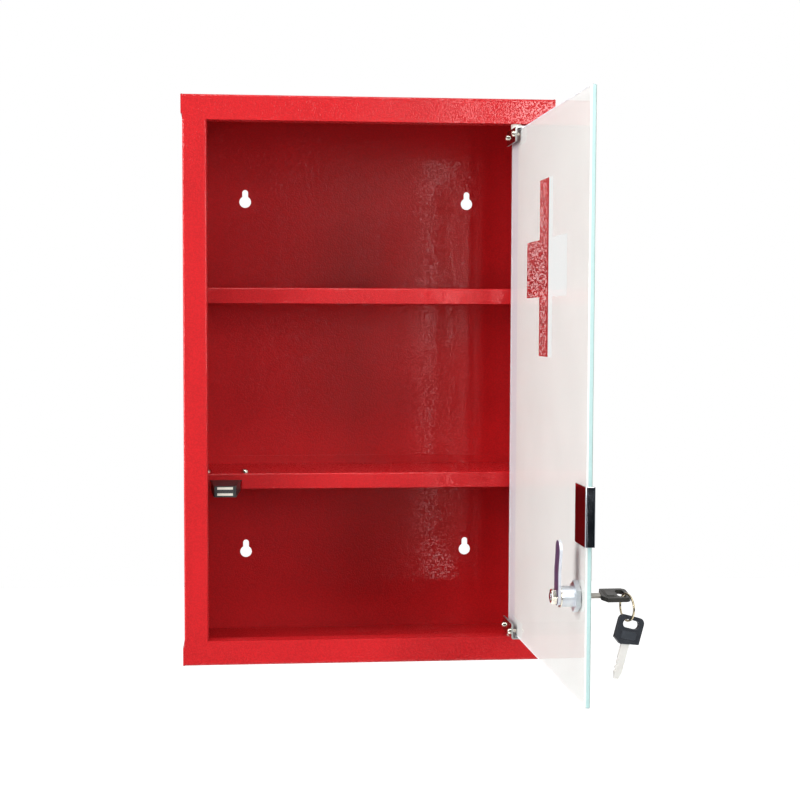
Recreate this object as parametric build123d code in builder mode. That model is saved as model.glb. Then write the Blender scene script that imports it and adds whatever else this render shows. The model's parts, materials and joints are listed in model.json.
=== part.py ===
"""Wall-hung sheet metal medicine cabinet with two shelves and a hinged, lockable glass door.

The origin is the centre of the back panel's outer face. +X is right, +Z is up and the front faces -Y.
All sizes are in millimetres. The door stands open, as it does at joint value 0.
"""
import os
from math import cos, radians, sin, sqrt

from build123d import *

# Case
case_width = 300.0
case_height = 460.0
case_depth = 140.0
wrap_sheet = 1.0
cap_sheet = 1.2
stile_width = 19.5
rail_width = 20.0
return_depth = 13.0
bend_radius = 0.6
ear_height = 15.0
joint_relief = 0.1
ear_rounding = 0.9

# Wall keyholes
keyhole_side_inset = 50.0
keyhole_top_inset = 74.0
keyhole_bottom_inset = 71.0
keyhole_radius = 5.2
keyhole_slot_width = 5.2
keyhole_reach = 10.8

# Shelves
shelf_sheet = 1.0
shelf_depth = 84.4
shelf_lip = 13.0
shelf_flange = 10.0
shelf_rear_flange = 7.3
lower_bay_height = 149.9
shelf_pitch = 156.7

# Door glass, measured along the door from its hinge edge
glass_side_gap = 3.0
glass_top_gap = 6.5
glass_bottom_gap = 4.3
glass_thickness = 4.0
glass_recess = 4.0
glass_corner_radius = 1.5
glass_arris = 0.5
door_open_angle = 90.915
hinge_axis_inset = 7.36

# Hinge clips and their pivots
clip_sheet = 1.5
clip_length = 35.0
clip_start = 0.5
clip_gap = 3.0
clip_height = 12.5
clip_clearance = 0.5
clip_screw_spacing = 25.0
clip_screw_inset = 4.0
clip_screw_diameter = 3.0
clip_screw_head_diameter = 5.0
clip_screw_head_height = 2.5
clip_screw_dome = 1.7
clip_screw_slot_width = 0.9
clip_screw_slot_depth = 0.8
pivot_diameter = 4.0
pivot_clearance = 0.05
bush_sleeve_diameter = 6.0
bush_collar_diameter = 8.5
bush_sleeve_rise = 2.0
bush_play = 0.15
pivot_rise = 1.5
pivot_chamfer = 0.5

# Handle clip on the door's free edge
handle_length = 28.5
handle_height = 40.0
handle_rise = 0.8
handle_inner_sheet = 1.0
handle_edge_sheet = 1.6
handle_outer_sheet = 1.9
handle_bend_radius = 1.4

# Cam lock, on an axis square to the glass
lock_edge_inset = 20.5
lock_drop = 55.9
lock_barrel_diameter = 14.0
lock_barrel_length = 12.0
lock_hole_clearance = 0.5
lock_rosette_diameter = 20.0
lock_rosette_thickness = 2.5
lock_rosette_fillet = 0.8
turning_gap = 0.1
lock_nut_across = 19.0
lock_nut_thickness = 3.5
nut_turn = 30.0
plug_diameter = 10.0
plug_clearance = 0.05
plug_square = 7.0
plug_stud_diameter = 5.0
plug_stud_end = 0.5
plug_lip_height = 0.6
stop_washer_diameter = 15.0
stop_washer_thickness = 0.8
cam_thickness = 2.0
cam_width = 12.0
cam_reach = 38.0
cam_crank = 0.7
cam_crank_rise = 12.0
cam_tip_length = 8.0
cam_nut_across = 9.6
cam_nut_thickness = 3.9
cam_nut_rounding = 1.2

# Keys
key_turn = 9.0
key_head_start = 10.8
key_head_length = 19.8
key_head_width = 19.5
key_head_thickness = 3.0
key_head_corner = 4.0
key_near_shoulder_drop = 3.5
key_far_shoulder_drop = 2.1
key_shoulder_offset = 4.5
key_eye_length = 12.9
key_eye_width = 5.7
key_eye_bar = 2.6
key_panel_length = 12.0
key_panel_width = 7.0
key_panel_rise = 0.3
key_panel_gap = 1.6
key_blade_thickness = 1.8
key_blade_width = 6.0
key_blade_length = 23.5
key_blade_tang = 6.0
key_blade_tip = 2.6
key_bite_depth = 1.0
key_bite_pitch = 3.6
key_bite_count = 3
key_tip_length = 4.5
keyway_clearance = 0.1
ring_radius = 9.0
ring_wire_diameter = 1.4
ring_gap = 1.2
ring_yaw = 75.0
spare_tilt = 16.5
spare_side_shift = 3.3
spare_gap = 0.45

# Magnetic catch on the lower shelf
catch_edge_inset = 10.5
catch_rear_width = 24.6
catch_front_width = 18.4
catch_height = 9.1
catch_strike_gap = 0.3
catch_notch_drop = 5.6
catch_notch_clearance = 1.3
catch_nose_radius = 1.0
catch_plate_width = 42.0
catch_plate_length = 14.0
catch_plate_thickness = 6.0
catch_screw_spacing = 32.4
catch_screw_setback = 3.9
catch_screw_diameter = 3.5
catch_screw_head_diameter = 7.0
catch_screw_head_height = 3.0
catch_screw_length = 6.5
catch_screw_dome = 1.8
catch_screw_slot_length = 4.2
catch_screw_slot_width = 1.0
catch_screw_slot_depth = 1.0
pole_width = 12.7
pole_thickness = 2.0
pole_gap = 3.05
pole_top_wall = 0.75
pole_length = 16.0
pole_stand_out = 0.3
catch_lip_clearance = 0.1

half_width = case_width / 2
half_height = case_height / 2
opening_half_width = half_width - stile_width
opening_half_height = half_height - rail_width
front_y = -case_depth
return_end_y = front_y + return_depth
cap_inner_z = half_height - cap_sheet
wall_inner_x = half_width - wrap_sheet

# Heights of the shelves, the handle and the lock, and the places along the door.
lower_shelf_z = lower_bay_height - cap_inner_z
upper_shelf_z = lower_shelf_z + shelf_pitch
handle_centre_z = lower_shelf_z + handle_rise
lock_z = handle_centre_z - lock_drop

# The door's own frame: x runs along the glass from its hinge edge, y from its inner face outwards, z up.
glass_inner_y = front_y + glass_recess + glass_thickness
hinge_axis_y = glass_inner_y - glass_thickness / 2
glass_half_width = opening_half_width - glass_side_gap
glass_top_z = opening_half_height - glass_top_gap
glass_bottom_z = glass_bottom_gap - opening_half_height
glass_width = 2 * glass_half_width
glass_height = glass_top_z - glass_bottom_z
glass_centre_z = (glass_top_z + glass_bottom_z) / 2
hinge_axis_x = glass_half_width - hinge_axis_inset
opening_turn = radians(door_open_angle)
door_corner = Vector(
    hinge_axis_x + hinge_axis_inset * cos(opening_turn) - (glass_inner_y - hinge_axis_y) * sin(opening_turn),
    hinge_axis_y + hinge_axis_inset * sin(opening_turn) + (glass_inner_y - hinge_axis_y) * cos(opening_turn),
    0,
)
door_along = Vector(-cos(opening_turn), -sin(opening_turn), 0)
door_outward = Vector(sin(opening_turn), -cos(opening_turn), 0)
up = Vector(0, 0, 1)
lock_from_hinge = glass_width - lock_edge_inset
catch_x = catch_edge_inset - glass_half_width


def door_section(distance):
    """Returns the plane square to the door at a distance from its hinge edge: x outwards, y up."""
    return Plane(origin=door_corner + door_along * distance, x_dir=door_outward, z_dir=door_along)


def door_face(depth):
    """Returns the plane parallel to the glass at a depth from its inner face, facing outwards, y up."""
    origin = door_corner + door_outward * depth
    return Plane(origin=origin, x_dir=door_along * -1, z_dir=door_outward)


os.makedirs("parts", exist_ok=True)

# Case wrap: back, two sides, two stiles and their returns, folded from one sheet.
wrap_side_x = half_width - wrap_sheet / 2
wrap_front_y = front_y + wrap_sheet / 2
wrap_return_x = opening_half_width + wrap_sheet / 2
wrap_line = [
    (-wrap_return_x, return_end_y),
    (-wrap_return_x, wrap_front_y),
    (-wrap_side_x, wrap_front_y),
    (-wrap_side_x, -wrap_sheet / 2),
    (wrap_side_x, -wrap_sheet / 2),
    (wrap_side_x, wrap_front_y),
    (wrap_return_x, wrap_front_y),
    (wrap_return_x, return_end_y),
]
keyhole_places = [
    (side * (half_width - keyhole_side_inset), height)
    for side in (-1, 1)
    for height in (keyhole_bottom_inset - half_height, half_height - keyhole_top_inset)
]
keyhole_slot_length = keyhole_reach - keyhole_slot_width / 2
with BuildPart() as case_wrap:
    with BuildSketch(Plane.XY.offset(-cap_inner_z)):
        with BuildLine():
            FilletPolyline(*wrap_line, radius=bend_radius + wrap_sheet / 2)
        trace(line_width=wrap_sheet)
    extrude(amount=2 * cap_inner_z)
    for side in (-1, 1):
        with Locations((0, front_y, side * (opening_half_height + rail_width / 2))):
            Box(2 * half_width, 2 * cap_sheet, rail_width, mode=Mode.SUBTRACT)
            Box(2 * wall_inner_x, 2 * return_depth + 2 * wrap_sheet, rail_width, mode=Mode.SUBTRACT)
        with Locations((0, front_y + cap_sheet, side * cap_inner_z)):
            Box(2 * half_width, 2 * bend_radius, 2 * bend_radius, mode=Mode.SUBTRACT)
    with BuildSketch(Plane.XZ):
        with Locations(*keyhole_places):
            Circle(keyhole_radius)
        with Locations(*[(x, z + keyhole_slot_length / 2) for x, z in keyhole_places]):
            Rectangle(keyhole_slot_width, keyhole_slot_length)
        with Locations(*[(x, z + keyhole_slot_length) for x, z in keyhole_places]):
            Circle(keyhole_slot_width / 2)
    extrude(amount=2 * wrap_sheet, both=True, mode=Mode.SUBTRACT)
case_wrap.part.label = "case_wrap"
export_step(case_wrap.part, "parts/case_wrap.step")

# Top cap: plate, front rail with its return, and an ear outside each side wall.
cap_middle_z = half_height - cap_sheet / 2
cap_front_y = front_y + cap_sheet / 2
cap_return_z = opening_half_height + cap_sheet / 2
pivot_hole_radius = bush_sleeve_diameter / 2
ear_x = half_width + cap_sheet / 2
ear_z = half_height - ear_height / 2
with BuildPart() as top_cap:
    with BuildSketch(Plane.YZ):
        with BuildLine():
            FilletPolyline(
                (0, cap_middle_z),
                (cap_front_y, cap_middle_z),
                (cap_front_y, opening_half_height),
                radius=bend_radius + cap_sheet / 2,
            )
        trace(line_width=cap_sheet)
    extrude(amount=half_width, both=True)
    with BuildSketch(Plane.YZ):
        with BuildLine():
            FilletPolyline(
                (cap_front_y, cap_middle_z - rail_width / 2),
                (cap_front_y, cap_return_z),
                (return_end_y, cap_return_z),
                radius=bend_radius + cap_sheet / 2,
            )
        trace(line_width=cap_sheet)
    extrude(amount=wall_inner_x - joint_relief, both=True)
    with Locations((-ear_x, front_y / 2, ear_z), (ear_x, front_y / 2, ear_z)):
        Box(cap_sheet, case_depth, ear_height)
    with BuildSketch(Plane.XY.offset(opening_half_height)):
        with Locations((hinge_axis_x, hinge_axis_y)):
            Circle(pivot_hole_radius)
    extrude(amount=cap_sheet, mode=Mode.SUBTRACT)
    ear_edges = top_cap.edges().filter_by(Axis.Y).group_by(Axis.Z)[-1]
    fillet([ear_edges.sort_by(Axis.X)[0], ear_edges.sort_by(Axis.X)[-1]], radius=ear_rounding)
top_cap.part.label = "top_cap"
export_step(top_cap.part, "parts/top_cap.step")

with BuildPart() as bottom_cap:
    add(mirror(top_cap.part, about=Plane.XY, mode=Mode.PRIVATE))
bottom_cap.part.label = "bottom_cap"
export_step(bottom_cap.part, "parts/bottom_cap.step")

# Shelves: a plate with a front lip and a flange down each side wall, the lower one with a rear flange turned up.
shelf_half_width = wall_inner_x - joint_relief
shelf_front_y = -wrap_sheet - shelf_depth
catch_screw_y = shelf_front_y + shelf_sheet + catch_screw_setback
catch_notch_width = catch_rear_width + 2 * catch_notch_clearance
catch_screw_places = [(catch_x + side * catch_screw_spacing / 2, catch_screw_y) for side in (-1, 1)]
flange_front_y = shelf_front_y + 2 * shelf_sheet
flange_length = -wrap_sheet - bend_radius - flange_front_y
flange_x = shelf_half_width - shelf_sheet / 2
flange_y = flange_front_y + flange_length / 2
flange_z = upper_shelf_z - shelf_flange / 2
with BuildPart() as upper_shelf:
    with BuildSketch(Plane.YZ):
        with BuildLine():
            FilletPolyline(
                (-wrap_sheet, upper_shelf_z - shelf_sheet / 2),
                (shelf_front_y + shelf_sheet / 2, upper_shelf_z - shelf_sheet / 2),
                (shelf_front_y + shelf_sheet / 2, upper_shelf_z - shelf_lip),
                radius=bend_radius + shelf_sheet / 2,
            )
        trace(line_width=shelf_sheet)
    extrude(amount=shelf_half_width, both=True)
    with Locations((-flange_x, flange_y, flange_z), (flange_x, flange_y, flange_z)):
        Box(shelf_sheet, flange_length, shelf_flange)
    rear_corners = upper_shelf.edges().filter_by(Axis.Z).group_by(Axis.Y)[-1]
    chamfer(rear_corners, length=bend_radius)
upper_shelf.part.label = "upper_shelf"
export_step(upper_shelf.part, "parts/upper_shelf.step")

with BuildPart() as lower_shelf:
    with Locations((0, 0, lower_shelf_z - upper_shelf_z)):
        add(upper_shelf.part)
    with Locations((0, -wrap_sheet - shelf_sheet / 2, lower_shelf_z + shelf_rear_flange / 2)):
        Box(2 * (shelf_half_width - bend_radius), shelf_sheet, shelf_rear_flange)
    with BuildSketch(Plane.XZ.offset(-shelf_front_y)):
        with Locations((catch_x, lower_shelf_z - catch_notch_drop - shelf_lip / 2)):
            Rectangle(catch_notch_width, shelf_lip)
    extrude(amount=-shelf_sheet, mode=Mode.SUBTRACT)
    with BuildSketch(Plane.XY.offset(lower_shelf_z)):
        with Locations(*catch_screw_places):
            Circle(catch_screw_diameter / 2)
    extrude(amount=-shelf_sheet, mode=Mode.SUBTRACT)
lower_shelf.part.label = "lower_shelf"
export_step(lower_shelf.part, "parts/lower_shelf.step")

# Magnetic catch: a tapered housing through the notch, with two pole plates round a magnet.
strike_y = glass_inner_y + handle_inner_sheet
pole_front_y = strike_y + catch_strike_gap
catch_front_y = pole_front_y + pole_stand_out
catch_rear_y = shelf_front_y + shelf_sheet + bend_radius + catch_plate_length
catch_top_z = lower_shelf_z - catch_notch_drop - catch_lip_clearance
catch_plate_top_z = lower_shelf_z - shelf_sheet
pole_stack_height = 2 * pole_thickness + pole_gap
pole_stack_z = catch_top_z - pole_top_wall - pole_stack_height / 2
with BuildPart() as catch_housing:
    with BuildSketch(Plane.XY.offset(catch_top_z)):
        with BuildLine():
            Polyline(
                (catch_x - catch_rear_width / 2, catch_rear_y),
                (catch_x - catch_rear_width / 2, shelf_front_y),
                (catch_x - catch_front_width / 2, catch_front_y),
                (catch_x + catch_front_width / 2, catch_front_y),
                (catch_x + catch_rear_width / 2, shelf_front_y),
                (catch_x + catch_rear_width / 2, catch_rear_y),
                close=True,
            )
        make_face()
    extrude(amount=-catch_height)
    nose = catch_housing.faces().sort_by(Axis.Y)[0]
    fillet(nose.edges().filter_by(Axis.Z), radius=catch_nose_radius)
    plate_y = catch_rear_y - catch_plate_length / 2
    with Locations((catch_x, plate_y, catch_plate_top_z - catch_plate_thickness / 2)):
        Box(catch_plate_width, catch_plate_length, catch_plate_thickness)
    with BuildSketch(Plane.XZ.offset(-catch_front_y)):
        with Locations((catch_x, pole_stack_z)):
            Rectangle(pole_width, pole_stack_height)
    extrude(amount=pole_stand_out - pole_length, mode=Mode.SUBTRACT)
    with BuildSketch(Plane.XY.offset(catch_plate_top_z)):
        with Locations(*catch_screw_places):
            Circle(catch_screw_diameter / 2)
    extrude(amount=-catch_plate_thickness, mode=Mode.SUBTRACT)
catch_housing.part.label = "catch_housing"
export_step(catch_housing.part, "parts/catch_housing.step")

with BuildPart() as catch_magnet:
    with Locations((catch_x, catch_front_y + (pole_length - pole_stand_out) / 2, pole_stack_z)):
        Box(pole_width, pole_length - pole_stand_out, pole_gap)
catch_magnet.part.label = "catch_magnet"
export_step(catch_magnet.part, "parts/catch_magnet.step")

pole_offset = (pole_gap + pole_thickness) / 2
pole_y = pole_front_y + pole_length / 2
with BuildPart() as catch_poles:
    with Locations(*[(catch_x, pole_y, pole_stack_z + side * pole_offset) for side in (-1, 1)]):
        Box(pole_width, pole_length, pole_thickness)
catch_poles.part.label = "catch_poles"
export_step(catch_poles.part, "parts/catch_poles.step")

with BuildPart() as catch_screws:
    with BuildSketch(Plane.XY.offset(lower_shelf_z)):
        with Locations(*catch_screw_places):
            Circle(catch_screw_head_diameter / 2)
    extrude(amount=catch_screw_head_height)
    head_tops = catch_screws.faces().filter_by(Axis.Z).group_by(Axis.Z)[-1]
    fillet(head_tops.edges(), radius=catch_screw_dome)
    with BuildSketch(Plane.XY.offset(lower_shelf_z)):
        with Locations(*catch_screw_places):
            Circle(catch_screw_diameter / 2)
    extrude(amount=-catch_screw_length)
    with BuildSketch(Plane.XY.offset(lower_shelf_z + catch_screw_head_height)):
        with Locations(*catch_screw_places):
            Rectangle(catch_screw_slot_length, catch_screw_slot_width)
            Rectangle(catch_screw_slot_width, catch_screw_slot_length)
    extrude(amount=-catch_screw_slot_depth, mode=Mode.SUBTRACT)
catch_screws.part.label = "catch_screws"
export_step(catch_screws.part, "parts/catch_screws.step")

# Door glass, with the lock's hole.
with BuildPart() as door_glass:
    with BuildSketch(door_face(0)):
        with Locations((-glass_half_width, glass_centre_z)):
            RectangleRounded(glass_width, glass_height, glass_corner_radius)
        with Locations((-lock_from_hinge, lock_z)):
            Circle(lock_barrel_diameter / 2 + lock_hole_clearance, mode=Mode.SUBTRACT)
    extrude(amount=glass_thickness)
    glass_faces = door_glass.faces().sort_by(SortBy.AREA)[-2:]
    chamfer([face.outer_wire().edges() for face in glass_faces], length=glass_arris)
door_glass.part.label = "door_glass"
export_step(door_glass.part, "parts/door_glass.step")

# Hinge clips: a channel over the glass's corner, with holes for the pivot and the set screws.
clip_top_z = glass_top_z + clip_clearance + clip_sheet
clip_flange_z = clip_top_z - clip_sheet / 2
clip_bottom_z = clip_top_z - clip_height
clip_inner_middle = -clip_gap - clip_sheet / 2
clip_outer_middle = glass_thickness + clip_sheet / 2
clip_screw_z = glass_top_z - clip_screw_inset
clip_screw_rise = clip_screw_z - glass_centre_z
clip_centre = clip_start + clip_length / 2
clip_screw_distances = [clip_centre - clip_screw_spacing / 2, clip_centre + clip_screw_spacing / 2]
with BuildPart() as top_hinge_clip:
    with BuildSketch(door_section(clip_start)):
        with BuildLine():
            FilletPolyline(
                (clip_inner_middle, clip_bottom_z),
                (clip_inner_middle, clip_flange_z),
                (clip_outer_middle, clip_flange_z),
                (clip_outer_middle, clip_bottom_z),
                radius=clip_sheet / 2 + clip_clearance,
            )
        trace(line_width=clip_sheet)
    extrude(amount=clip_length)
    with BuildSketch(Plane.XY.offset(clip_top_z)):
        with Locations((hinge_axis_x, hinge_axis_y)):
            Circle(pivot_diameter / 2)
    extrude(amount=-clip_sheet, mode=Mode.SUBTRACT)
    with BuildSketch(door_face(-clip_gap)):
        with Locations(*[(-distance, clip_screw_z) for distance in clip_screw_distances]):
            Circle(clip_screw_diameter / 2)
    extrude(amount=-clip_sheet, mode=Mode.SUBTRACT)
top_hinge_clip.part.label = "top_hinge_clip"
export_step(top_hinge_clip.part, "parts/top_hinge_clip.step")

with BuildPart() as bottom_hinge_clip:
    add(mirror(top_hinge_clip.part, about=Plane.XY.offset(glass_centre_z), mode=Mode.PRIVATE))
bottom_hinge_clip.part.label = "bottom_hinge_clip"
export_step(bottom_hinge_clip.part, "parts/bottom_hinge_clip.step")

clip_head_face = -clip_gap - clip_sheet - clip_screw_head_height
clip_screw_places = [
    (-distance, glass_centre_z + side * clip_screw_rise)
    for distance in clip_screw_distances
    for side in (-1, 1)
]
with BuildPart() as clip_screws:
    with BuildSketch(door_face(clip_head_face)):
        with Locations(*clip_screw_places):
            Circle(clip_screw_head_diameter / 2)
    extrude(amount=clip_screw_head_height)
    head_faces = clip_screws.faces().sort_by(Axis(door_corner, door_outward))[: len(clip_screw_places)]
    fillet(head_faces.edges(), radius=clip_screw_dome)
    with BuildSketch(door_face(clip_head_face + clip_screw_head_height)):
        with Locations(*clip_screw_places):
            Circle(clip_screw_diameter / 2)
    extrude(amount=-clip_head_face - clip_screw_head_height)
    with BuildSketch(door_face(clip_head_face)):
        with Locations(*clip_screw_places):
            Rectangle(clip_screw_head_diameter, clip_screw_slot_width)
    extrude(amount=clip_screw_slot_depth, mode=Mode.SUBTRACT)
clip_screws.part.label = "clip_screws"
export_step(clip_screws.part, "parts/clip_screws.step")

# Pivots: a pin in each clip, turning in a bush in the rail's return. Each clip's reach is its outer
# face's height above or below the middle of the case.
bush_reach = opening_half_height + cap_sheet + bush_sleeve_rise
clip_reaches = [(1, clip_top_z), (-1, clip_clearance + clip_sheet - glass_bottom_z)]
with BuildPart() as pivot_pins:
    for side, clip_reach in clip_reaches:
        with BuildSketch(Plane.XY.offset(side * (clip_reach - clip_sheet))):
            with Locations((hinge_axis_x, hinge_axis_y)):
                Circle(pivot_diameter / 2)
        extrude(amount=side * (bush_reach + pivot_rise - clip_reach + clip_sheet))
    pin_ends = [pivot_pins.faces().sort_by(Axis.Z)[end] for end in (0, -1)]
    chamfer([face.edges() for face in pin_ends], length=pivot_chamfer)
pivot_pins.part.label = "pivot_pins"
export_step(pivot_pins.part, "parts/pivot_pins.step")

with BuildPart() as pivot_bushes:
    for side, clip_reach in clip_reaches:
        with BuildSketch(Plane.XY.offset(side * (clip_reach + bush_play))):
            with Locations((hinge_axis_x, hinge_axis_y)):
                Circle(bush_collar_diameter / 2)
        extrude(amount=side * (opening_half_height - clip_reach - bush_play))
        with BuildSketch(Plane.XY.offset(side * opening_half_height)):
            with Locations((hinge_axis_x, hinge_axis_y)):
                Circle(bush_sleeve_diameter / 2)
        extrude(amount=side * (bush_reach - opening_half_height))
        with BuildSketch(Plane.XY.offset(side * clip_reach)):
            with Locations((hinge_axis_x, hinge_axis_y)):
                Circle(pivot_diameter / 2 + pivot_clearance)
        extrude(amount=side * (bush_reach - clip_reach), mode=Mode.SUBTRACT)
pivot_bushes.part.label = "pivot_bushes"
export_step(pivot_bushes.part, "parts/pivot_bushes.step")

# Handle clip: a channel pushed over the free edge of the glass, which the magnet also holds.
handle_back = glass_width + handle_edge_sheet - handle_length
handle_outer_face = glass_thickness + handle_outer_sheet
handle_level = Plane(
    origin=door_corner + up * (handle_centre_z - handle_height / 2), x_dir=door_along, z_dir=up
)
with BuildPart() as handle_clip:
    with BuildSketch(handle_level):
        with BuildLine():
            Polyline(
                (handle_back, -handle_inner_sheet),
                (handle_back, 0),
                (glass_width, 0),
                (glass_width, glass_thickness),
                (handle_back, glass_thickness),
                (handle_back, handle_outer_face),
                (glass_width + handle_edge_sheet, handle_outer_face),
                (glass_width + handle_edge_sheet, -handle_inner_sheet),
                close=True,
            )
        make_face()
    extrude(amount=handle_height)
    free_edges = handle_clip.edges().filter_by(Axis.Z).sort_by(Axis(door_corner, door_along))[-2:]
    fillet(free_edges, radius=handle_bend_radius)
handle_clip.part.label = "handle_clip"
export_step(handle_clip.part, "parts/handle_clip.step")

# Cam lock: body and nut on the glass.
lock_rosette_face = glass_thickness + lock_rosette_thickness
lock_place = (-lock_from_hinge, lock_z)
with BuildPart() as lock_body:
    with BuildSketch(door_face(glass_thickness)):
        with Locations(lock_place):
            Circle(lock_rosette_diameter / 2)
    extrude(amount=lock_rosette_thickness)
    rosette = lock_body.faces().sort_by(Axis(door_corner, door_outward))[-1]
    fillet(rosette.edges(), radius=lock_rosette_fillet)
    with BuildSketch(door_face(-lock_barrel_length)):
        with Locations(lock_place):
            Circle(lock_barrel_diameter / 2)
    extrude(amount=lock_barrel_length + glass_thickness)
    with BuildSketch(door_face(-lock_barrel_length)):
        with Locations(lock_place):
            Circle(plug_diameter / 2 + plug_clearance)
    extrude(amount=lock_barrel_length + lock_rosette_face, mode=Mode.SUBTRACT)
lock_body.part.label = "lock_body"
export_step(lock_body.part, "parts/lock_body.step")

with BuildPart() as lock_nut:
    with BuildSketch(door_face(-lock_nut_thickness)):
        with Locations(lock_place):
            RegularPolygon(lock_nut_across / 2, 6, major_radius=False, rotation=nut_turn)
            Circle(lock_barrel_diameter / 2, mode=Mode.SUBTRACT)
    extrude(amount=lock_nut_thickness)
lock_nut.part.label = "lock_nut"
export_step(lock_nut.part, "parts/lock_nut.step")

# Turning parts of the lock, with the key's plane turned by key_turn from level.
turn = radians(key_turn)
lock_axis_point = door_corner + door_along * lock_from_hinge + up * lock_z
key_normal = up * cos(turn) + door_along * sin(turn)
key_start = lock_axis_point + door_outward * (glass_thickness + key_head_start)
key_plane = Plane(origin=key_start, x_dir=door_outward, z_dir=key_normal)
washer_face = -lock_barrel_length - turning_gap - stop_washer_thickness
cam_face = washer_face - cam_thickness
cam_nut_face = cam_face - cam_nut_thickness
plug_front_face = lock_rosette_face + turning_gap + plug_lip_height
keyway_length = plug_front_face + key_blade_length - key_head_start - glass_thickness + plug_clearance
keyway_middle = plug_front_face - keyway_length / 2 - glass_thickness - key_head_start
with BuildPart() as lock_plug:
    with BuildSketch(door_face(-lock_barrel_length - turning_gap)):
        with Locations(lock_place):
            Circle(plug_diameter / 2)
    extrude(amount=lock_barrel_length + turning_gap + plug_front_face)
    with BuildSketch(door_face(plug_front_face - plug_lip_height)):
        with Locations(lock_place):
            Circle(plug_diameter / 2 + plug_lip_height)
    extrude(amount=plug_lip_height)
    with BuildSketch(door_face(cam_face)):
        with Locations(lock_place):
            Rectangle(plug_square, plug_square)
    extrude(amount=cam_thickness + stop_washer_thickness)
    with BuildSketch(door_face(cam_nut_face - plug_stud_end)):
        with Locations(lock_place):
            Circle(plug_stud_diameter / 2)
    extrude(amount=cam_nut_thickness + plug_stud_end)
    with BuildSketch(key_plane.offset(-key_blade_thickness / 2 - keyway_clearance)):
        with Locations((keyway_middle, 0)):
            Rectangle(keyway_length, key_blade_width + 2 * keyway_clearance)
    extrude(amount=key_blade_thickness + 2 * keyway_clearance, mode=Mode.SUBTRACT)
lock_plug.part.label = "lock_plug"
export_step(lock_plug.part, "parts/lock_plug.step")

with BuildPart() as stop_washer:
    with BuildSketch(door_face(washer_face)):
        with Locations(lock_place):
            Circle(stop_washer_diameter / 2)
            Rectangle(plug_square, plug_square, mode=Mode.SUBTRACT)
    extrude(amount=stop_washer_thickness)
stop_washer.part.label = "stop_washer"
export_step(stop_washer.part, "parts/stop_washer.step")

cam_middle = cam_face + cam_thickness / 2
cam_bend_z = lock_z + cam_reach - cam_tip_length
with BuildPart() as lock_cam:
    with BuildSketch(door_section(lock_from_hinge)):
        with BuildLine():
            Polyline(
                (cam_middle, lock_z - cam_width / 2),
                (cam_middle, cam_bend_z - cam_crank_rise),
                (cam_middle + cam_crank, cam_bend_z),
                (cam_middle + cam_crank, lock_z + cam_reach),
            )
        trace(line_width=cam_thickness)
    extrude(amount=cam_width / 2, both=True)
    with BuildSketch(door_face(cam_face - cam_thickness)):
        with Locations((-lock_from_hinge, lock_z + (cam_reach - cam_width / 2) / 2)):
            SlotOverall(cam_reach + cam_width / 2, cam_width, rotation=90)
    extrude(amount=3 * cam_thickness + cam_crank, mode=Mode.INTERSECT)
    with BuildSketch(door_face(cam_face)):
        with Locations(lock_place):
            Rectangle(plug_square, plug_square)
    extrude(amount=cam_thickness, mode=Mode.SUBTRACT)
lock_cam.part.label = "lock_cam"
export_step(lock_cam.part, "parts/lock_cam.step")

with BuildPart() as cam_nut:
    with BuildSketch(door_face(cam_nut_face)):
        with Locations(lock_place):
            RegularPolygon(cam_nut_across / 2, 6, major_radius=False)
            Circle(plug_stud_diameter / 2, mode=Mode.SUBTRACT)
    extrude(amount=cam_nut_thickness)
    nut_end = cam_nut.faces().sort_by(Axis(door_corner, door_outward))[0]
    fillet(nut_end.outer_wire().edges(), radius=cam_nut_rounding)
cam_nut.part.label = "cam_nut"
export_step(cam_nut.part, "parts/cam_nut.step")

# Key: x runs from the head's shoulder to its eye, with the blade on the other side.
key_eye_x = key_head_length - key_eye_bar - key_eye_width / 2
key_panel_x = key_eye_x - key_eye_width / 2 - key_panel_gap - key_panel_width / 2
with BuildPart() as head_shape:
    with BuildSketch(Plane.XY) as head_outline:
        with BuildLine():
            Polyline(
                (0, -key_shoulder_offset),
                (key_near_shoulder_drop, -key_head_width / 2),
                (key_head_length, -key_head_width / 2),
                (key_head_length, key_head_width / 2),
                (key_far_shoulder_drop, key_head_width / 2),
                close=True,
            )
        make_face()
        fillet(head_outline.vertices().group_by(Axis.X)[-1], radius=key_head_corner)
        with Locations((key_eye_x, 0)):
            SlotOverall(key_eye_length, key_eye_width, rotation=90, mode=Mode.SUBTRACT)
    extrude(amount=key_head_thickness / 2, both=True)
    with BuildSketch(Plane.XY):
        with Locations((key_panel_x, 0)):
            Rectangle(key_panel_width, key_panel_length)
    extrude(amount=key_head_thickness / 2 + key_panel_rise, both=True)
    with BuildSketch(Plane.XY):
        with Locations((key_blade_tang / 2, 0)):
            Rectangle(key_blade_tang, key_blade_width)
    extrude(amount=key_blade_thickness / 2, both=True, mode=Mode.SUBTRACT)

bite_start = key_tip_length - key_blade_length + key_bite_pitch / 2
bite_side = key_bite_depth * sqrt(2)
bites = range(key_bite_count)
with BuildPart() as blade_shape:
    with BuildSketch(Plane.XY):
        with BuildLine():
            Polyline(
                (key_blade_tang, -key_blade_width / 2),
                (key_blade_tang, key_blade_width / 2),
                (key_tip_length - key_blade_length, key_blade_width / 2),
                (-key_blade_length, key_blade_tip / 2),
                (-key_blade_length, -key_blade_tip / 2),
                (key_tip_length - key_blade_length, -key_blade_width / 2),
                close=True,
            )
        make_face()
    extrude(amount=key_blade_thickness / 2, both=True)
    with BuildSketch(Plane.XY):
        with Locations(*[(bite_start + key_bite_pitch * index, -key_blade_width / 2) for index in bites]):
            Rectangle(bite_side, bite_side, rotation=45)
    extrude(amount=key_blade_thickness / 2, both=True, mode=Mode.SUBTRACT)

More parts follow.
